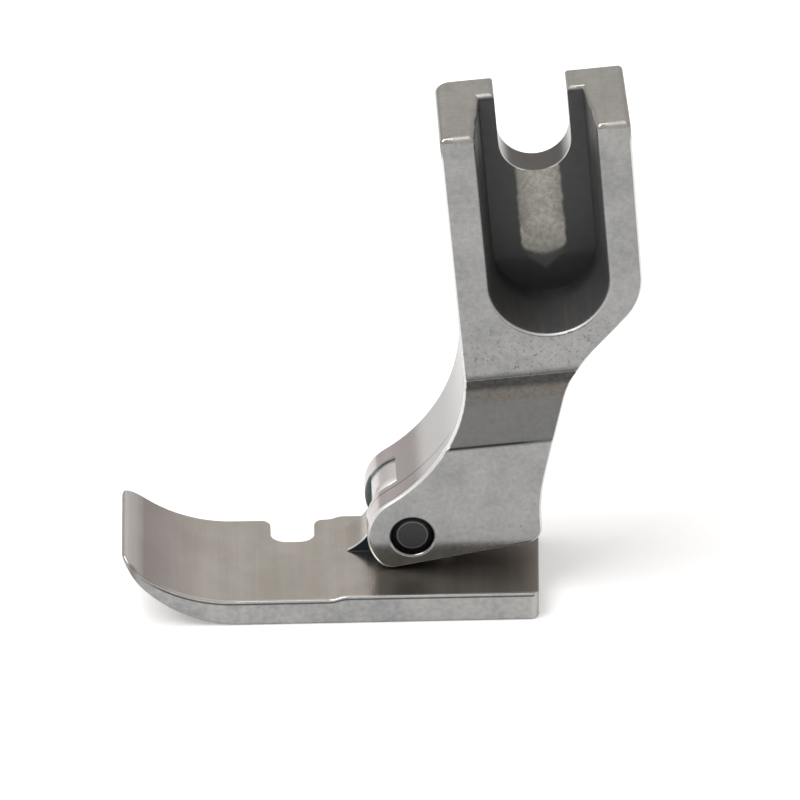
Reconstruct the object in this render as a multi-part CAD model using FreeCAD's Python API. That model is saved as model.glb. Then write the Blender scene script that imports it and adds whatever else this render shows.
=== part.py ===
import FreeCAD, Part
import math
import os

# Hinged presser foot: a shank, a sole that tilts on it, and the hinge pin between them.
# Millimetres. X runs from the toe (-) to the heel (+), Y away from the needle side's opposite
# edge, Z up. The origin is on the sole's underside, below the hinge pin and midway across the lug.

# Hinge
pin_height = 4.88          # pin axis above the sole's underside
pin_radius = 1.50
pin_end_chamfer = 0.42
pin_setback = 0.25         # pin ends lie this far inside the ear faces
ear_hole_clearance = 0.01
lug_hole_clearance = 0.04
lug_width = 3.40
fork_slot_width = 3.50

# Sole
sole_near_y = -7.75
sole_far_y = 3.15
front_thickness = 1.95
heel_thickness = 2.20
heel_x = 9.05              # midway across the heel end
heel_skew = 3.0            # degrees, the far corner reaches further back
heel_step_x = (-5.95, -4.70)
toe_top_start_x = -12.60
toe_top_radius = 10.30
toe_turn = 47.9            # degrees of the top arc, from flat to the tip
toe_under_start_x = -12.00
tip_thickness = 0.30       # across the toe, square to its top face
toe_corner_radius = 1.60
heel_corner_radius = 0.60
notch_center_x = -8.36
notch_width = 3.10
notch_depth = 2.95
notch_mouth_radius = 0.70
notch_root_radius = 1.10
lug_radius = 3.00          # round top of the lug, about the pin axis
lug_front_x = -2.72
lug_ramp_x = -4.56         # where the ramp up to the lug leaves the heel plate
lug_ramp_top = 4.15
lug_ramp_sag = 0.24

# Shank, in its own frame: across, depth (Y) and along, measured from the pin axis
shank_lean = 5.2           # degrees, toward the toe, in the pose of the photo
ear_near_y = -4.25
block_near_y = -5.10
shank_far_y = 3.55
ear_radius = 3.18
ear_bottom_along = -2.30   # bottom edge of the ears, below the pin axis
ear_bottom_rise = 5.7      # degrees, toward the heel
heel_side_across = 9.17
heel_side_radius = 14.0
neck_slope = 16.0          # degrees from the shank's axis, heel side of the neck
throat_along = 10.13
throat_radius = 9.5
shoulder_slope = 46.0
shoulder_radius = 4.5
block_across = (4.71, 17.62)
block_draft = 0.2          # degrees, both sides spread toward the top
block_top = 31.80
neck_radius = 11.7         # hollow on the toe side of the neck
relief_levels = ((12.72, 0.0), (11.90, 0.32), (7.10, 0.68), (6.78, 0.85))
relief_bend_radii = (1.20, 1.20, 0.80)
fork_roof = 3.25

# Presser bar channel and screw slot, cut in the block
channel_mouth_width = 8.36
channel_floor_width = 7.14
channel_depth = 5.88
channel_mouth_round_along = 20.00
channel_floor_round_along = 19.62
seat_groove_radius = 4.00
seat_groove_depth = 0.32
seat_groove_end = 21.7
screw_slot_width = 5.04
screw_slot_round_along = 27.97

# Edge breaks
edge_round = 0.25
far_corner_round = 1.10    # the far edges' rounding grows to this up the block's toe side
mouth_round = 0.22
hole_edge_round = 0.18
sole_top_round = 0.12
sole_bottom_round = 0.20
lug_round = 1.20           # on the near side of the lug's top
top_round = 0.40
ear_corner_radius = 1.20

LONG = 60.0
heel_reach = (sole_far_y - sole_near_y) / 2 * math.tan(math.radians(heel_skew))


def vec(x, z, y=0.0):
    return FreeCAD.Vector(x, y, z)


def polar(center, radius, degrees):
    """Point on a circle; the angle is counted from +X toward +Z."""
    a = math.radians(degrees)
    return (center[0] + radius * math.cos(a), center[1] + radius * math.sin(a))


def arc(center, radius, start, end):
    """Arc edge in the XZ plane between two angles in degrees."""
    first = vec(*polar(center, radius, start))
    middle = vec(*polar(center, radius, (start + end) / 2))
    last = vec(*polar(center, radius, end))
    return Part.Arc(first, middle, last).toShape()


def line(a, b):
    return Part.makeLine(vec(*a), vec(*b))


def bowed(a, b, sag):
    """Arc edge from a to b that bulges to the right of its chord."""
    run, rise = b[0] - a[0], b[1] - a[1]
    chord = math.hypot(run, rise)
    middle = ((a[0] + b[0]) / 2 + sag * rise / chord, (a[1] + b[1]) / 2 - sag * run / chord)
    return Part.Arc(vec(*a), vec(*middle), vec(*b)).toShape()


def extrude(edges, y0, y1):
    """Solid between two depths from edges that close a loop in the XZ plane."""
    face = Part.Face(Part.Wire(edges))
    face.translate(FreeCAD.Vector(0, y0, 0))
    return face.extrude(FreeCAD.Vector(0, y1 - y0, 0))


def polygon(points, y0, y1):
    loop = [line(a, b) for a, b in zip(points, points[1:] + points[:1])]
    return extrude(loop, y0, y1)


def cylinder_y(x, z, radius, y0, y1):
    return Part.makeCylinder(radius, y1 - y0, FreeCAD.Vector(x, y0, z), FreeCAD.Vector(0, 1, 0))


def edges_where(shape, test):
    """Edges whose middle point passes the test."""
    found = []
    for edge in shape.Edges:
        middle = edge.valueAt((edge.FirstParameter + edge.LastParameter) / 2)
        if test(middle, edge):
            found.append(edge)
    return found


def is_straight(edge, direction):
    if not isinstance(edge.Curve, Part.Line):
        return False
    return abs(abs(edge.Curve.Direction.dot(direction)) - 1) < 1e-6


def shank_outline():
    """Side view of the shank: block, shoulder, neck and the ear round the pin."""
    left, right = block_across
    hollow = (left - neck_radius, math.sqrt((neck_radius + ear_radius) ** 2 - (left - neck_radius) ** 2))
    hollow_end = math.degrees(math.atan2(-hollow[1], -hollow[0]))
    ear_start = hollow_end + 180
    rise = math.tan(math.radians(ear_bottom_rise))
    a, b, c = 1 + rise ** 2, 2 * rise * ear_bottom_along, ear_bottom_along ** 2 - ear_radius ** 2
    foot = (-b - math.sqrt(b * b - 4 * a * c)) / (2 * a)
    ear_foot = (foot, ear_bottom_along + rise * foot)
    ear_end = math.degrees(math.atan2(ear_foot[1], ear_foot[0])) + 360
    heel_foot = (heel_side_across, ear_bottom_along + rise * heel_side_across)

    heel_center = (heel_side_across + heel_side_radius, 0.0)
    neck_start = polar(heel_center, heel_side_radius, 180 - neck_slope)
    slope = math.tan(math.radians(neck_slope))
    throat = (neck_start[0] + slope * (throat_along - neck_start[1]), throat_along)
    throat_center = polar(throat, throat_radius, -neck_slope)
    shoulder_start = polar(throat_center, throat_radius, 180 - shoulder_slope)
    turn = math.radians(shoulder_slope)
    shoulder_center_x = right - shoulder_radius
    run = shoulder_center_x + shoulder_radius * math.cos(turn) - shoulder_start[0]
    shoulder_end = (shoulder_start[0] + run, shoulder_start[1] + run / math.tan(turn))
    shoulder_center = (shoulder_center_x, shoulder_end[1] + shoulder_radius * math.sin(turn))
    spread = math.tan(math.radians(block_draft))
    block_left = polar(hollow, neck_radius, block_draft)
    block_right = polar(shoulder_center, shoulder_radius, -block_draft)
    top_left = block_left[0] - spread * (block_top - block_left[1])
    top_right = block_right[0] + spread * (block_top - block_right[1])

    return [
        line((top_left, block_top), (top_right, block_top)),
        line((top_right, block_top), block_right),
        arc(shoulder_center, shoulder_radius, -block_draft, -shoulder_slope),
        line(shoulder_end, shoulder_start),
        arc(throat_center, throat_radius, 180 - shoulder_slope, 180 - neck_slope),
        line(throat, neck_start),
        arc(heel_center, heel_side_radius, 180 - neck_slope, 180),
        line((heel_side_across, 0.0), heel_foot),
        line(heel_foot, ear_foot),
        arc((0, 0), ear_radius, ear_end, ear_start),
        arc(hollow, neck_radius, hollow_end, block_draft),
        line(block_left, (top_left, block_top)),
    ]


def u_section(y, width, round_along, top):
    """Closed U outline at one depth: two straight sides over a half round."""
    middle = sum(block_across) / 2
    half = width / 2
    corners = [(middle - half, round_along), (middle - half, top), (middle + half, top), (middle + half, round_along)]
    edges = [line(a, b) for a, b in zip(corners, corners[1:])]
    edges.append(arc((middle, round_along), half, 0, -180))
    wire = Part.Wire(edges)
    wire.translate(FreeCAD.Vector(0, y, 0))
    return wire


def channel_cutter():
    """Presser bar channel with drafted walls, from in front of the mouth to the floor."""
    lead = 1.0
    ratio = (channel_depth + lead) / channel_depth
    width = channel_floor_width + (channel_mouth_width - channel_floor_width) * ratio
    round_along = channel_floor_round_along + (channel_mouth_round_along - channel_floor_round_along) * ratio
    top = block_top + 3
    mouth = u_section(block_near_y - lead, width, round_along, top)
    floor = u_section(block_near_y + channel_depth, channel_floor_width, channel_floor_round_along, top)
    return Part.makeLoft([mouth, floor], True, True)


def on_channel_mouth(p):
    """True for a point of the near face that lies on the channel's mouth."""
    middle = sum(block_across) / 2
    above_relief = p.z > relief_levels[0][0] + 0.1
    return abs(p.x - middle) < channel_mouth_width / 2 + 0.1 and above_relief and p.z < block_top - 0.1


def seat_groove_cutter():
    """Shallow round groove down the channel floor, with the cutter's round end."""
    middle = sum(block_across) / 2
    axis_y = block_near_y + channel_depth + seat_groove_depth - seat_groove_radius
    length = block_top + 3 - seat_groove_end
    start = FreeCAD.Vector(middle, axis_y, seat_groove_end)
    shaft = Part.makeCylinder(seat_groove_radius, length, start, FreeCAD.Vector(0, 0, 1))
    end = Part.makeSphere(seat_groove_radius, start)
    return shaft.fuse(end).removeSplitter()


def screw_slot_cutter():
    y0 = block_near_y + channel_depth - 0.5
    wire = u_section(y0, screw_slot_width, screw_slot_round_along, block_top + 3)
    return Part.Face(wire).extrude(FreeCAD.Vector(0, shank_far_y + 1 - y0, 0))


def relief_cutter():
    """Material taken off the near face below the block, so that the ears lie further in."""
    points = [(block_near_y + depth, along) for along, depth in relief_levels]
    points.append((points[-1][0], -LONG / 2))
    points.append((block_near_y - 5, -LONG / 2))
    points.append((block_near_y - 5, relief_levels[0][0] + 3))
    points.append((block_near_y, relief_levels[0][0] + 3))
    corners = [FreeCAD.Vector(-LONG / 2, y, z) for y, z in points]
    face = Part.Face(Part.makePolygon(corners + corners[:1]))
    cutter = face.extrude(FreeCAD.Vector(LONG, 0, 0))
    for (along, inset), radius in zip(relief_levels, relief_bend_radii):
        cutter = cutter.makeFillet(radius, edges_where(
            cutter, lambda p, e: math.hypot(p.y - block_near_y - inset, p.z - along) < 0.02))
    return cutter


def make_shank():
    along = FreeCAD.Vector(0, 0, 1)
    across = FreeCAD.Vector(1, 0, 0)
    depth = FreeCAD.Vector(0, 1, 0)
    body = extrude(shank_outline(), block_near_y, shank_far_y)
    body = body.cut(relief_cutter()).removeSplitter()
    body = body.makeFillet(ear_corner_radius, edges_where(
        body, lambda p, e: is_straight(e, depth) and p.z < 0))
    body = body.makeFillet(edge_round, far_corner_round, edges_where(
        body, lambda p, e: p.y > shank_far_y - 0.01 and p.x < block_across[0] and p.z > throat_along))
    body = body.makeFillet(edge_round, edges_where(
        body, lambda p, e: p.y < ear_near_y + 0.01 and not is_straight(e, across)
        and not is_straight(e, depth)))
    body = body.cut(channel_cutter())
    body = body.cut(seat_groove_cutter())
    body = body.cut(screw_slot_cutter())
    body = body.makeFillet(mouth_round, edges_where(
        body, lambda p, e: abs(p.y - block_near_y) < 0.01 and on_channel_mouth(p)))
    body = body.makeFillet(top_round, edges_where(
        body, lambda p, e: abs(p.z - block_top) < 0.01))
    slot = polygon([(-LONG, -LONG), (LONG, -LONG), (LONG, fork_roof), (-LONG, fork_roof)],
                   -fork_slot_width / 2, fork_slot_width / 2)
    hole = pin_radius + ear_hole_clearance
    body = body.cut(cylinder_y(0, 0, hole, -LONG, LONG))
    body = body.makeFillet(hole_edge_round, edges_where(
        body, lambda p, e: abs(math.hypot(p.x, p.z) - hole) < 1e-3 and not is_straight(e, depth)))
    return body.cut(slot)


def place_on_pin(shape):
    """From the shank's own frame to the part frame: lean toward the toe, then lift to the pin."""
    placed = shape.copy()
    placed.rotate(FreeCAD.Vector(0, 0, 0), FreeCAD.Vector(0, 1, 0), -shank_lean)
    placed.translate(FreeCAD.Vector(0, 0, pin_height))
    return placed


def heel_step():
    """Two blended arcs that lead the top face up to the slightly thicker heel plate."""
    (x0, z0), (x1, z1) = zip(heel_step_x, (front_thickness, heel_thickness))
    half_run, half_rise = (x1 - x0) / 2, (z1 - z0) / 2
    radius = (half_run ** 2 + half_rise ** 2) / (2 * half_rise)
    turn = math.degrees(math.asin(half_run / radius))
    return [arc((x0, z0 + radius), radius, -90, -90 + turn), arc((x1, z1 - radius), radius, 90 + turn, 90)]


def toe_tip():
    """Ends of the top and under arcs of the toe, on the tip's small face."""
    top_center = (toe_top_start_x, front_thickness + toe_top_radius)
    tip_top = polar(top_center, toe_top_radius, -90 - toe_turn)
    return tip_top, polar(tip_top, tip_thickness, -90 - toe_turn)


def below_top_face():
    """Everything under the sole's top face, out to the tip, as an extruded side view."""
    top_center = (toe_top_start_x, front_thickness + toe_top_radius)
    tip_top, tip_under = toe_tip()
    end_x, low = heel_x + heel_reach, -front_thickness
    edges = [
        arc(top_center, toe_top_radius, -90 - toe_turn, -90),
        line((toe_top_start_x, front_thickness), (heel_step_x[0], front_thickness)),
        *heel_step(),
        line((heel_step_x[1], heel_thickness), (end_x, heel_thickness)),
        line((end_x, heel_thickness), (end_x, low)),
        line((end_x, low), (tip_under[0], low)),
        line((tip_under[0], low), tip_under),
        line(tip_under, tip_top),
    ]
    return extrude(edges, sole_near_y, sole_far_y)


def above_underside():
    """Everything over the sole's underside and the toe's, as an extruded side view."""
    tip_under = toe_tip()[1]
    run, rise = toe_under_start_x - tip_under[0], tip_under[1]
    radius = (run ** 2 + rise ** 2) / (2 * rise)
    turn = math.degrees(math.atan2(run, radius - rise))
    end_x, high = heel_x + heel_reach, tip_under[1] + toe_top_radius
    edges = [
        line((end_x, 0), (toe_under_start_x, 0)),
        arc((toe_under_start_x, radius), radius, -90, -90 - turn),
        line(tip_under, (tip_under[0], high)),
        line((tip_under[0], high), (end_x, high)),
        line((end_x, high), (end_x, 0)),
    ]
    return extrude(edges, sole_near_y, sole_far_y)


def plan_outline():
    """Top view of the sole: rounded corners and the needle notch in the far edge."""
    x0, x1 = toe_tip()[1][0], heel_x
    y0, y1 = sole_near_y, sole_far_y
    up = FreeCAD.Vector(0, 0, 1)
    corners = [(x0, y0), (x1 - heel_reach, y0), (x1 + heel_reach, y1), (x0, y1)]
    base = Part.makePolygon([FreeCAD.Vector(x, y, -5) for x, y in corners + corners[:1]])
    slab = Part.Face(base).extrude(up * 25)
    for radius, side in ((toe_corner_radius, -1), (heel_corner_radius, 1)):
        slab = slab.makeFillet(radius, edges_where(
            slab, lambda p, e: is_straight(e, up) and p.x * side > heel_x / 2))
    left = notch_center_x - notch_width / 2
    floor_y = y1 - notch_depth
    cutter = Part.makeBox(notch_width, notch_depth + 2, 30, FreeCAD.Vector(left, floor_y, -7))
    cutter = cutter.makeFillet(notch_root_radius, edges_where(
        cutter, lambda p, e: is_straight(e, up) and p.y < y1))
    slab = slab.cut(cutter)
    mouth = edges_where(slab, lambda p, e: is_straight(e, up) and abs(p.y - y1) < 1e-3
                        and abs(p.x - notch_center_x) < notch_width)
    return slab.makeFillet(notch_mouth_radius, mouth)


def lug_outline():
    """Side view of the hinge lug: ramp, upright front, round top and upright back."""
    center = (0.0, pin_height)
    front = math.sqrt(lug_radius ** 2 - lug_front_x ** 2)
    front_angle = 180 - math.degrees(math.asin(front / lug_radius))
    ramp_top = (lug_front_x, lug_ramp_top)
    ramp_start = (lug_ramp_x, heel_thickness)
    base = front_thickness / 2
    return [
        bowed(ramp_start, ramp_top, lug_ramp_sag),
        line(ramp_top, (lug_front_x, pin_height + front)),
        arc(center, lug_radius, front_angle, 0),
        line((lug_radius, pin_height), (lug_radius, base)),
        line((lug_radius, base), (lug_ramp_x, base)),
        line((lug_ramp_x, base), ramp_start),
    ]


def on_top_outline(p):
    """True for a point of the sole plate's upper outline, flat or along the toe."""
    if p.x > toe_top_start_x:
        return p.z > front_thickness / 2
    rise = p.z - front_thickness - toe_top_radius
    return math.hypot(p.x - toe_top_start_x, rise) < toe_top_radius + 0.05


def make_sole():
    depth = FreeCAD.Vector(0, 1, 0)
    up = FreeCAD.Vector(0, 0, 1)
    outline = plan_outline()
    upper = below_top_face().common(outline).removeSplitter()
    upper = upper.makeFillet(sole_top_round, edges_where(
        upper, lambda p, e: not is_straight(e, depth) and not is_straight(e, up)
        and on_top_outline(p)))
    lower = above_underside().common(outline).removeSplitter()
    lower = lower.makeFillet(sole_bottom_round, edges_where(
        lower, lambda p, e: not is_straight(e, depth) and not is_straight(e, up)
        and p.z < toe_tip()[1][1] + 0.1))
    plate = upper.common(lower).removeSplitter()
    lug = extrude(lug_outline(), -lug_width / 2, lug_width / 2)
    lug = lug.makeFillet(lug_round, edges_where(
        lug, lambda p, e: isinstance(e.Curve, Part.Circle) and p.z > pin_height and p.y < 0))
    body = plate.fuse(lug).removeSplitter()
    hole = pin_radius + lug_hole_clearance
    return body.cut(cylinder_y(0, pin_height, hole, -LONG, LONG))


def make_hinge_pin():
    y0 = ear_near_y + pin_setback
    y1 = shank_far_y - pin_setback
    pin = cylinder_y(0, 0, pin_radius, y0, y1)
    return pin.makeChamfer(pin_end_chamfer, [e for e in pin.Edges if isinstance(e.Curve, Part.Circle)])


os.makedirs("parts", exist_ok=True)
pieces = {
    "shank": place_on_pin(make_shank()),
    "sole": make_sole(),
    "hinge_pin": place_on_pin(make_hinge_pin()),
}
for name, shape in pieces.items():
    shape.exportStep("parts/" + name + ".step")
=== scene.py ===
import bpy
import math
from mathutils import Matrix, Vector

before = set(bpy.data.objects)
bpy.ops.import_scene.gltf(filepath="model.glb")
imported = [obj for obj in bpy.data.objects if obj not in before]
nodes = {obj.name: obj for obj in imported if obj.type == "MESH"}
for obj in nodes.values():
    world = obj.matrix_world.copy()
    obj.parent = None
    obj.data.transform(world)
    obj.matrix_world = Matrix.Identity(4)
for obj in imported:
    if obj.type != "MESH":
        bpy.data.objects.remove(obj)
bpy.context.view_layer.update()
scene = bpy.context.scene
scene.view_settings.view_transform = "Standard"


# The viewpoint: a long lens about 0.43 m away, some 31 degrees above the table, which looks into the
# open channel from 2 degrees round to the toe side.
camera_data = bpy.data.cameras.new("camera")
camera_data.sensor_fit = "HORIZONTAL"
camera_data.sensor_width = 36.0
camera_data.lens = 275.4
camera_data.clip_start = 0.01
camera = bpy.data.objects.new("camera", camera_data)
camera.location = (-0.014355, -0.370453, 0.232839)
camera.rotation_euler = (math.radians(59.4), 0, math.radians(-2.1072))
scene.collection.objects.link(camera)
scene.camera = camera


# The shank: one steel casting that is clamped to the machine's bar and forks over the hinge's lug.
# Its near face is ground, its neck and fork are milled bright, and the channel keeps the casting's
# dark scale, apart from a strip down the floor that the bar has rubbed. Highlights, reflections and
# shade are also painted into its colour.
class Socket:
    """Output of a shader node. Arithmetic on it adds Math nodes to the same shader."""

    def __init__(self, shader, out):
        self.shader = shader
        self.out = out

    def math(self, operation, *values):
        return self.shader.node("Math", {"operation": operation}, values)

    def __add__(self, other):
        return self.math("ADD", self, other)

    def __sub__(self, other):
        return self.math("SUBTRACT", self, other)

    def __rsub__(self, other):
        return self.math("SUBTRACT", other, self)

    def __mul__(self, other):
        return self.math("MULTIPLY", self, other)

    def __abs__(self):
        return self.math("ABSOLUTE", self)

    __radd__ = __add__
    __rmul__ = __mul__


class Shader:
    """The node tree of one material or of the world, and the one method that adds nodes to it."""

    def __init__(self, owner):
        owner.use_nodes = True
        self.owner = owner
        self.tree = owner.node_tree
        self.tree.nodes.clear()

    def node(self, kind, settings=None, values=(), out=0):
        made = self.tree.nodes.new("ShaderNode" + kind)
        for key, value in (settings or {}).items():
            if key == "stops":
                ramp = made.color_ramp
                while len(ramp.elements) < len(value):
                    ramp.elements.new(0.5)
                for element, (place, tone) in zip(ramp.elements, value):
                    element.position = place
                    element.color = (tone, tone, tone, 1) if isinstance(tone, float) else (*tone, 1)
            else:
                setattr(made, key, value)
        pairs = values.items() if isinstance(values, dict) else enumerate(values)
        for key, value in pairs:
            if isinstance(value, Socket):
                self.tree.links.new(value.out, made.inputs[key])
            else:
                made.inputs[key].default_value = value
        return Socket(self, made.outputs[out] if made.outputs else None)

    def surface(self, shader):
        kind = "World" if isinstance(self.owner, bpy.types.World) else "Material"
        self.node("Output" + kind, None, {"Surface": shader})


def rise(value, low, high):
    """0 below low, 1 above high, and smooth between."""
    smooth = {"interpolation_type": "SMOOTHSTEP"}
    return value.shader.node("MapRange", smooth, {0: value, 1: low, 2: high})


def fall(value, low, high):
    """1 below low, 0 above high, and smooth between."""
    return 1 - rise(value, low, high)


def band(value, low, high, soft):
    """1 between two limits, fading over a soft width outside both."""
    return rise(value, low - soft, low) * fall(value, high, high + soft)


def blend(mask, under, over):
    """Colour that goes from under to over as the mask goes from 0 to 1."""
    under, over = [(*c, 1) if isinstance(c, tuple) else c for c in (under, over)]
    return mask.shader.node("Mix", {"data_type": "RGBA"}, {0: mask, 6: under, 7: over}, out=2)


def distance(one_side, other_side):
    """How far a point lies from an axis, from its distances along two square directions."""
    s = one_side.shader
    corner = s.node("CombineXYZ", None, [one_side, 0.0, other_side])
    return s.node("VectorMath", {"operation": "LENGTH"}, [corner], out="Value")


def grain(place, scale, detail=3.0):
    """Cloudy noise about 0.5, with so many clouds a millimetre."""
    return place.shader.node("TexNoise", None, {
        "Vector": place, "Scale": scale, "Detail": detail, "Roughness": 0.6})


def strokes(place, scales, detail=3.0):
    """Noise drawn out along the directions that have a small scale, as grinding leaves it."""
    drawn = place.shader.node("Mapping", None, {"Vector": place, "Scale": scales})
    return grain(drawn, 1.0, detail)


def wide(noise):
    """Noise spread out so that it reaches 0 and 1."""
    return rise(noise, 0.3, 0.7)


def pits(place, scale, size, share):
    """Small round specks: one in each cell of a share of the cells."""
    s = place.shader
    cell = {"Vector": place, "Scale": scale, "Randomness": 0.9}
    from_centre = s.node("TexVoronoi", None, cell)
    chance = s.node("SeparateColor", None, [s.node("TexVoronoi", None, cell, out="Color")])
    return fall(from_centre, size * 0.4, size) * rise(chance, 1 - share, 1.02 - share)


def in_millimetres(shader, pivot=0.0, lean=0.0):
    """Place in mm on a piece, measured from a pivot height and turned upright if the piece leans."""
    return shader.node("Mapping", None, {
        "Vector": shader.node("TexCoord", out="Object"),
        "Location": (-pivot * math.sin(lean), 0, -pivot * math.cos(lean)),
        "Rotation": (0, lean, 0),
        "Scale": (1000, 1000, 1000),
    })


def dress(node, s, colour, metallic, rough, relief, strength, height):
    """Gives a CAD node this metal, with a fine relief that is so many metres high."""
    bump = s.node("Bump", None, {"Strength": strength, "Distance": height, "Height": relief})
    s.surface(s.node("BsdfPrincipled", None, {
        "Base Color": colour, "Metallic": metallic, "Roughness": rough, "Normal": bump}))
    nodes[node].data.materials[0] = s.owner


# sizes in mm in the shank's own frame: across is towards the heel and along is up the shank, both
# from the pin's axis, and depth is towards the far side, from the middle of the lug
LEAN = math.radians(5.2)
PIN_HEIGHT = 4.88
HOLE_RIM = 1.69
EAR_RADIUS = 3.18
FORK_WALL = 1.75
NEAR_FACE = -5.10
FAR_FACE = 3.55
LOWER_BEND = (6.78, 7.10)
UPPER_BEND = (11.90, 12.72)
LEVELS_TO = 20.0
# heights, and how far the near face lies back there
LEVELS = ((0.0, 0.85), (LOWER_BEND[0], 0.85), (LOWER_BEND[1], 0.68),
          (UPPER_BEND[0], 0.32), (UPPER_BEND[1], 0.0), (LEVELS_TO, 0.0))
BLOCK_MIDDLE = 11.165
BLOCK_TOP = 31.80
TOP_ROUND = 0.40
CHANNEL_END = 15.82
CHANNEL_HALF = 4.18
CHANNEL_FLOOR = 0.78
SEAT_GROOVE = 0.32
SLOT_AXIS = 27.97
SLOT_RADIUS = 2.52
STRIP_SIDE = (1.42, 1.66)
STRIP_END = 2.93
POINT_TOP = 3.08

# colours of its faces, some of them painted highlights, reflections and shade; a pair is what a face
# goes between
GROUND_FACE = ((0.245, 0.249, 0.250), (0.405, 0.40, 0.388))
GROUND_TOP = ((0.325, 0.315, 0.295), (0.44, 0.425, 0.40))
MILLED_SIDE_AND_REFLECTION = ((0.62, 0.575, 0.565), (0.41, 0.40, 0.395))
FORK_WALL_REFLECTION_TEAL = (0.22, 0.33, 0.35)
SLOPE_SHADE_GREY = (0.12, 0.12, 0.116)
UNDER_BEND_BROWN = (0.155, 0.115, 0.08)
UPPER_BEND_SHADE = (0.040, 0.039, 0.037)
LOWER_BEND_SHADE = (0.06, 0.062, 0.065)
EDGE_HIGHLIGHT_WHITE = (0.97, 0.97, 0.97)
CUT_DARK = (0.10, 0.09, 0.085)
PORE_DARK = (0.06, 0.055, 0.05)
SLOT_END_SHADE = (0.088, 0.083, 0.080)
SLOT_LIP_HIGHLIGHT = (0.75, 0.75, 0.76)
SCALE_BLACK = ((0.040, 0.040, 0.041), (0.070, 0.070, 0.071))
CHANNEL_END_SHADE = (0.016, 0.016, 0.0165)
STREAK_BROWN = (0.085, 0.078, 0.066)
SCALE_SPECK = (0.09, 0.09, 0.095)
RUBBED_STRIP_AND_REFLECTION = ((0.285, 0.27, 0.245), (0.41, 0.395, 0.36))
POINT_GREY = (0.10, 0.10, 0.10)

s = Shader(bpy.data.materials.new("satin_ground_steel"))
in_shank = in_millimetres(s, PIN_HEIGHT, LEAN)
across, depth, along = (s.node("SeparateXYZ", None, [in_shank], out=i) for i in range(3))
from_pin = distance(across, along)
from_middle = abs(across - BLOCK_MIDDLE)
from_floor = depth - CHANNEL_FLOOR
up_channel = along - CHANNEL_END

# how far each point lies behind the near face, which steps back below the block in two bends
stops = [(height / LEVELS_TO, back) for height, back in LEVELS]
level = s.node("ValToRGB", {"stops": stops}, [along * (1 / LEVELS_TO)])
behind = depth - NEAR_FACE - s.node("SeparateColor", None, [level])
near = fall(behind, 0.02, 0.14)
near_edge = band(behind, 0.05, 0.34, 0.04) * rise(from_pin, HOLE_RIM + 0.06, HOLE_RIM + 0.16)

# ground faces, a browner top, milled sides painted lighter towards the ears as a reflection, and a
# painted teal reflection on the fork's far wall
clouds = grain(in_shank, 0.35)
mottle = grain(in_shank, 2.6, 5.0)
fine = grain(in_shank, 9.0, 2.0)
patchy = 0.40 * wide(clouds) + 0.35 * wide(mottle) + 0.25 * wide(fine)
steel = blend(patchy, *GROUND_FACE)
steel = blend(rise(along, BLOCK_TOP - 0.50, BLOCK_TOP - 0.10), steel, blend(patchy, *GROUND_TOP))
milled = rise(behind, 0.3, 0.6) * fall(depth, FAR_FACE - 0.20, FAR_FACE - 0.05)
milled = milled * fall(along, 12.0, 15.0)
# milled sides, painted lighter low down near the ears as a reflection
steel = blend(milled, steel, blend(rise(along + 1.5 * clouds, 1.5, 8.0), *MILLED_SIDE_AND_REFLECTION))
# painted reflection: the far wall inside the fork is tinted teal
fork_wall = band(depth, FORK_WALL - 0.05, FORK_WALL + 0.05, 0.05)
fork_wall = fork_wall * fall(from_pin, EAR_RADIUS - 0.13, EAR_RADIUS - 0.03)
steel = blend(fork_wall, steel, FORK_WALL_REFLECTION_TEAL)

# between the bends, painted shade on the sloped face, brown patches just under the upper bend, a
# painted dark band along the upper bend and a painted dark line in the lower bend
slope_shade = near * band(along, LOWER_BEND[1] + 0.15, UPPER_BEND[0], 0.25)
steel = blend(slope_shade * (0.50 + 0.5 * mottle), steel, SLOPE_SHADE_GREY)
under_bend_brown = near * band(along, UPPER_BEND[0] - 1.0, UPPER_BEND[0] + 0.1, 0.7)
under_bend_brown = under_bend_brown * rise(grain(in_shank, 3.5, 4.0), 0.42, 0.62)
steel = blend(under_bend_brown * 0.55, steel, UNDER_BEND_BROWN)
# painted shade along the upper bend and in the crease of the lower bend
upper_bend_shade = near * band(along, UPPER_BEND[0] + 0.22, UPPER_BEND[1] - 0.12, 0.75)
steel = blend(upper_bend_shade * (0.75 + 0.5 * mottle) * 0.9, steel, UPPER_BEND_SHADE)
lower_bend_shade = near * band(along, LOWER_BEND[0] + 0.02, LOWER_BEND[1] - 0.04, 0.22)
steel = blend(lower_bend_shade * (0.8 + 0.4 * mottle) * 0.68, steel, LOWER_BEND_SHADE)

# a painted highlight along the near edges, up to the top of the block, and less of it low round the
# channel's mouth
mouth_edge = near_edge * fall(from_middle, CHANNEL_HALF + 0.22, CHANNEL_HALF + 0.52)
mouth_edge = mouth_edge * rise(along, 13.0, 14.0)
edge_highlight = near_edge * fall(along, BLOCK_TOP - 1.8, BLOCK_TOP - 0.8)
edge_highlight = edge_highlight - mouth_edge * (0.5 + 0.5 * rise(up_channel, 1.18, 3.68))
steel = blend(edge_highlight * 0.85, steel, EDGE_HIGHLIGHT_WHITE)

# a cutter's line on the toe side of the neck, which bends towards the near edge as it goes up
up_neck = 0.25 * (along - 2.4)
line_depth = -2.28 - 0.62 * up_neck * up_neck
cutter_line = band(depth - line_depth, -0.03, 0.03, 0.07)
cutter_line = cutter_line * band(along, 1.4, 7.4, 0.6) * fall(across, 3.4, 4.2)
steel = blend(cutter_line * 0.7, steel, CUT_DARK)

# pores in the casting, most of them between the upper bend and the channel
speckle = rise(grain(in_shank, 5.0, 4.0), 0.58, 0.68) * band(along, 12.9, 15.0, 4.0)
stray = pits(in_shank, 0.9, 0.11, 0.25)
pores = near * (speckle + stray - speckle * stray)
steel = blend(pores * 0.62, steel, PORE_DARK)

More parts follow.
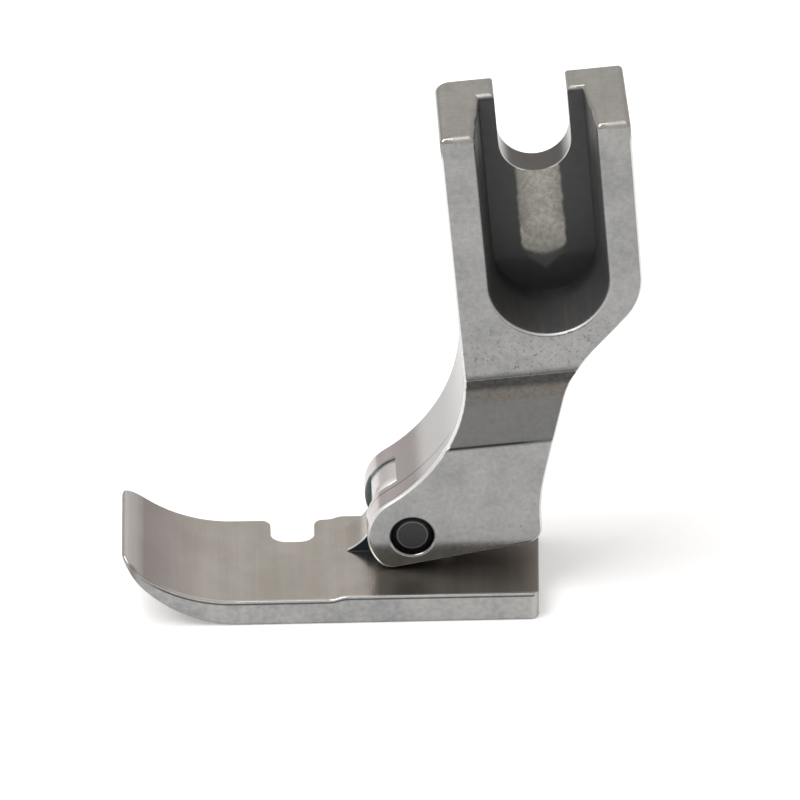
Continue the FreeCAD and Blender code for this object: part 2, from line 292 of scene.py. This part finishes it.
# the wall of the open screw slot, with painted shade at its lower end and a painted highlight on its
# lip at the channel's floor
below_slot = along - SLOT_AXIS
from_slot = distance(from_middle, s.node("Math", {"operation": "MINIMUM"}, [below_slot, 0.0]))
slot_wall = fall(from_slot, SLOT_RADIUS + 0.015, SLOT_RADIUS + 0.055) * rise(from_floor, 0.02, 0.08)
slot_end_shade = slot_wall * rise(from_floor, 0.22, 0.37) * fall(below_slot, -1.77, -0.57)
steel = blend(slot_end_shade * 0.9, steel, SLOT_END_SHADE)
steel = blend(slot_wall * band(from_floor, 0.06, 0.20, 0.05) * 0.8, steel, SLOT_LIP_HIGHLIGHT)

# specked scale inside the channel, painted shade low on the floor near its lower end, and streaks of
# brown at its lower end
inside = band(depth, NEAR_FACE + 0.20, CHANNEL_FLOOR + SEAT_GROOVE + 0.04, 0.06) * (1 - slot_wall)
inside = inside * fall(from_middle, CHANNEL_HALF + 0.07, CHANNEL_HALF + 0.17)
inside = inside * band(along, CHANNEL_END - 0.82, BLOCK_TOP - 0.30, 0.2)
skin = blend(grain(in_shank, 1.4, 4.0), *SCALE_BLACK)
# painted shade deep in the channel's lower end
skin = blend(band(up_channel, 0.68, 2.58, 0.8) * rise(depth, -1.2, 0.3) * 0.7, skin, CHANNEL_END_SHADE)
streaks = fall(up_channel, 0.98, 3.18) * fall(depth, -1.5, -0.3)
streaks = streaks * rise(strokes(in_shank, (3.2, 0.15, 0.15)), 0.40, 0.75)
skin = blend(streaks * 0.7, skin, STREAK_BROWN)
skin = blend(pits(in_shank, 2.2, 0.14, 0.12), skin, SCALE_SPECK)

# the strip down the floor, rubbed bare by the bar and painted lighter as a reflection, with ragged
# sides, a round lower end and a grey point below it
on_floor = rise(from_floor, -0.08, -0.02)
ragged = 0.30 * (grain(in_shank, 1.8, 4.0) - 0.5)
strip_end = STRIP_END + 0.28 * from_middle * from_middle
strip = fall(from_middle + ragged, *STRIP_SIDE) * on_floor
strip = strip * rise(up_channel + ragged - strip_end, 0.0, 0.5)
point = fall(from_middle + 1.1 * (POINT_TOP - up_channel), 0.9, 1.5) * on_floor
skin = blend(point * band(up_channel, POINT_TOP - 1.3, POINT_TOP, 0.4) * 0.8, skin, POINT_GREY)
# the strip is bare metal, and its lighter colour is also a painted reflection
skin = blend(strip, skin, blend(wide(grain(in_shank, 3.2, 5.0)), *RUBBED_STRIP_AND_REFLECTION))

# rougher on the sloped face between the bends, along the edges with the painted highlight, on the
# scale, and along most of the top's rounded edges
rough = 0.12 + 0.08 * mottle + 0.14 * slope_shade + 0.30 * mouth_edge + 0.20 * edge_highlight
rough = rough + inside * (0.32 - 0.10 * strip)
top_round = rise(along, BLOCK_TOP - TOP_ROUND - 0.10, BLOCK_TOP - TOP_ROUND)
rough = rough + 0.35 * top_round * (band(across, 5.7, 14.0, 0.5) + rise(across, 15.8, 16.3))
relief = 0.5 * mottle + 0.5 * fine - 1.2 * pores
bare = 1 - inside * (1 - strip)
dress("shank", s, blend(inside, steel, skin), bare, rough, relief, strength=0.5, height=0.000008)


# The sole: one steel plate with a turned up toe, a notch for the needle, and the hinge's lug with
# the ramp up to it. Its top is ground across and polished, and its sides are left matt.
PLATE_TOP = 1.95
HEEL_TOP = 2.20
HEEL_STEP = (-5.95, -4.70)
HEEL_END = 9.05
TOE_START = -12.60
TOE_RADIUS = 10.30
TOE_END = -20.46
NEAR_SIDE = -7.75
LUG_SIDE = -1.70
LUG_FRONT = -2.72
RAMP_FOOT = -4.56

# colours of the sole, some of them painted highlights, reflections and shade
GROUND_PLATE = ((0.400, 0.374, 0.338), (0.51, 0.484, 0.444))
MATT_SIDE = ((0.28, 0.283, 0.29), (0.46, 0.452, 0.435))
TOE_REFLECTION_BROWN = (0.30, 0.255, 0.255)
TIP_REFLECTION_PALE = (0.56, 0.535, 0.52)
HEEL_SHADE = ((0.17, 0.155, 0.135), (0.27, 0.25, 0.222))
LUG_HIGHLIGHT = ((1.0, 1.0, 0.99), (0.72, 0.70, 0.68))
RAMP_SIDE_REFLECTION = (0.035, 0.042, 0.055)
RAMP_EDGE_HIGHLIGHT = (0.90, 0.88, 0.85)
RIM_HIGHLIGHT = (0.80, 0.79, 0.77)
TIP_CORNER_BROWN = (0.20, 0.15, 0.11)
HEEL_CORNER_HIGHLIGHT = (0.66, 0.63, 0.58)
RIM_LINE_REFLECTION = (0.045, 0.05, 0.055)

s = Shader(bpy.data.materials.new("polished_sole_steel"))
on_sole = in_millimetres(s)
x, y, z = (s.node("SeparateXYZ", None, [on_sole], out=i) for i in range(3))
from_tip = x - TOE_END
from_near = y - NEAR_SIDE
from_lug = y - LUG_SIDE

# how far each point lies under the top face, on the flat and round the toe
flat_top = PLATE_TOP + (HEEL_TOP - PLATE_TOP) * rise(x, *HEEL_STEP)
under_toe = distance(x - TOE_START, z - (PLATE_TOP + TOE_RADIUS)) - TOE_RADIUS
toe = fall(x, TOE_START - 0.02, TOE_START + 0.02)
under = toe * under_toe + (1 - toe) * (flat_top - z)
top = fall(under, 0.02, 0.10)

# the ground top, with a painted brown reflection behind the toe's tip and a painted pale reflection
# on the tip, and the matt sides
clouds = grain(on_sole, 0.30)
mottle = grain(on_sole, 2.2, 5.0)
lines = strokes(on_sole, (7.0, 0.12, 0.12))
bands = strokes(on_sole, (0.8, 0.03, 0.03), 2.0)
ground = blend(0.50 * wide(clouds) + 0.30 * wide(bands) + 0.20 * wide(lines), *GROUND_PLATE)
ground = blend(rise(from_tip, 1.36, 1.56) * fall(from_tip, 1.86, 6.66) * 0.55, ground, TOE_REFLECTION_BROWN)
ground = blend(fall(from_tip, 0.96, 1.36) * 0.8, ground, TIP_REFLECTION_PALE)
metal = blend(top, blend(0.5 * wide(clouds) + 0.5 * wide(mottle), *MATT_SIDE), ground)

# painted brown shade on the heel plate behind the lug's front, under the ears, and a painted
# highlight on the lug
heel_shade = top * rise(x, LUG_FRONT - 0.18, LUG_FRONT + 0.42)
heel_shade = heel_shade * fall(z, HEEL_TOP + 0.10, HEEL_TOP + 0.30)
metal = blend(heel_shade * 0.9, metal, blend(bands, *HEEL_SHADE))
lug = rise(z, 4.6, 4.9) * rise(x, LUG_FRONT - 0.38, LUG_FRONT - 0.28)
# painted highlight on the lug, white on its near side
metal = blend(lug, metal, blend(rise(from_lug, 0.50, 1.20), *LUG_HIGHLIGHT))

# a painted dark reflection on the ramp's near side and a painted highlight on the edge above it
ramp_side_reflection = band(from_lug, -0.05, 0.04, 0.02) * fall(under, -0.02, 0.0)
ramp_side_reflection = ramp_side_reflection * band(x, RAMP_FOOT - 0.44, LUG_FRONT + 0.22, 0.05)
metal = blend(ramp_side_reflection, metal, RAMP_SIDE_REFLECTION)
ramp_edge_highlight = band(from_lug, 0.08, 0.30, 0.05) * fall(under, -0.05, 0.0)
ramp_edge_highlight = ramp_edge_highlight * band(x, RAMP_FOOT - 0.24, LUG_FRONT + 0.02, 0.1)
metal = blend(ramp_edge_highlight * 0.7, metal, RAMP_EDGE_HIGHLIGHT)

# a painted highlight on the near rim with a painted dark reflection as a line under it, brown at the
# tip, and a painted highlight on the heel's corner
rim = fall(under, 0.07, 0.12) * fall(from_near, 0.19, 0.29) * rise(from_tip, 1.96, 3.96)
metal = blend(rim * 0.35, metal, RIM_HIGHLIGHT)
tip_corner = fall(from_tip, 0.66, 1.26) * fall(from_near, 0.25, 0.75)
metal = blend(tip_corner * 0.7, metal, TIP_CORNER_BROWN)
heel_corner_highlight = rise(x, HEEL_END - 1.05, HEEL_END - 0.35) * fall(from_near, 0.0, 0.55) * (1 - top)
metal = blend(heel_corner_highlight * 0.6, metal, HEEL_CORNER_HIGHLIGHT)
rim_line_reflection = band(under, 0.17, 0.25, 0.05) * fall(from_near, 0.05, 0.10) * rise(from_tip, 0.66, 2.96)
metal = blend(rim_line_reflection * 0.85, metal, RIM_LINE_REFLECTION)

rough = top * (0.20 + 0.08 * lines) + (1 - top) * (0.30 + 0.12 * mottle) + 0.14 * heel_shade
relief = top * (1.1 * lines + 0.3 * bands) + (1 - top) * (mottle + 0.5 * grain(on_sole, 8.0, 2.0))
dress("sole", s, metal, 1.0, rough, relief, strength=0.45, height=0.000008)


# The hinge pin: a short turned steel pin, blacked and pressed into both ears, so that the lug turns
# on it. Its flat ends have a ring painted lighter as a highlight, inside a blue black chamfer.
HIGHLIGHT_RING = (1.04, 1.10)
CHAMFER = (1.12, 1.22)
BLACKED = ((0.030, 0.031, 0.033), (0.062, 0.062, 0.064))
BLUE_BLACK = (0.020, 0.022, 0.028)
RING_HIGHLIGHT_GREY = (0.22, 0.22, 0.22)

s = Shader(bpy.data.materials.new("blacked_pin_steel"))
on_pin = in_millimetres(s, PIN_HEIGHT)
from_axis = distance(*(s.node("SeparateXYZ", None, [on_pin], out=side) for side in "XZ"))
speck = grain(on_pin, 5.0, 4.0)
black = blend(speck, *BLACKED)
black = blend(rise(from_axis, *CHAMFER), black, BLUE_BLACK)
# painted highlight: a lighter ring on each flat end
black = blend(band(from_axis, *HIGHLIGHT_RING, 0.03) * 0.6, black, RING_HIGHLIGHT_GREY)
dress("hinge_pin", s, black, 0.6, 0.38 + 0.1 * speck, speck, strength=0.4, height=0.000006)


# The table: a wide sheet of white paper that lies flat under the foot and takes its shadow. For the
# camera it glows a little, so that it is plain white where no shadow falls.
PAPER_WHITE = (0.90, 0.90, 0.90, 1)
PAPER_GLOW = 0.24

bpy.ops.object.select_all(action="DESELECT")
bpy.ops.mesh.primitive_plane_add(size=4.0, location=(0, 0, 0))
table = bpy.context.object
table.name = "table"
s = Shader(bpy.data.materials.new("white_sheet"))
seen = s.node("LightPath", out="Is Camera Ray")
glow = s.node("Emission", None, {"Color": (1, 1, 1, 1), "Strength": seen * PAPER_GLOW})
lit = s.node("BsdfDiffuse", None, {"Color": PAPER_WHITE})
s.surface(s.node("AddShader", None, [lit, glow]))
table.data.materials.append(s.owner)


# The light: a pale grey room that the metal reflects, lightest 30 degrees above the horizon, with
# plain white in its place for the camera, and two soft boxes, the stronger one out on the toe side.
AIM = (0, 0, 0.02)

world = bpy.data.worlds.new("room")
scene.world = world
s = Shader(world)
height = s.node("SeparateXYZ", None, [s.node("TexCoord", out="Generated")], out="Z")
tone = s.node("ValToRGB", {"stops": [
    (0.0, (0.58, 0.55, 0.55)),
    (0.12, (0.60, 0.57, 0.57)),
    (0.5, (0.82, 0.80, 0.77)),
    (1.0, (0.52, 0.52, 0.52)),
]}, [height])
room = s.node("Background", None, {"Color": tone, "Strength": 1.0})
white = s.node("Background", None, {"Color": (1, 1, 1, 1), "Strength": 1.0})
seen = s.node("LightPath", out="Is Camera Ray")
s.surface(s.node("MixShader", None, [seen, room, white]))


def soft_box(name, place, width, power):
    """A square lamp of so many watts that faces the foot and isn't seen itself."""
    lamp = bpy.data.lights.new(name, "AREA")
    lamp.shape = "RECTANGLE"
    lamp.size = lamp.size_y = width
    lamp.energy = power
    made = bpy.data.objects.new(name, lamp)
    made.location = place
    made.rotation_euler = (Vector(place) - Vector(AIM)).to_track_quat("Z", "Y").to_euler()
    made.visible_camera = False
    scene.collection.objects.link(made)


soft_box("soft_box_over", (-0.12, 0.03, 0.58), 0.22, 0.5)
soft_box("soft_box_left", (-0.22, -0.10, 0.44), 0.30, 1.3)
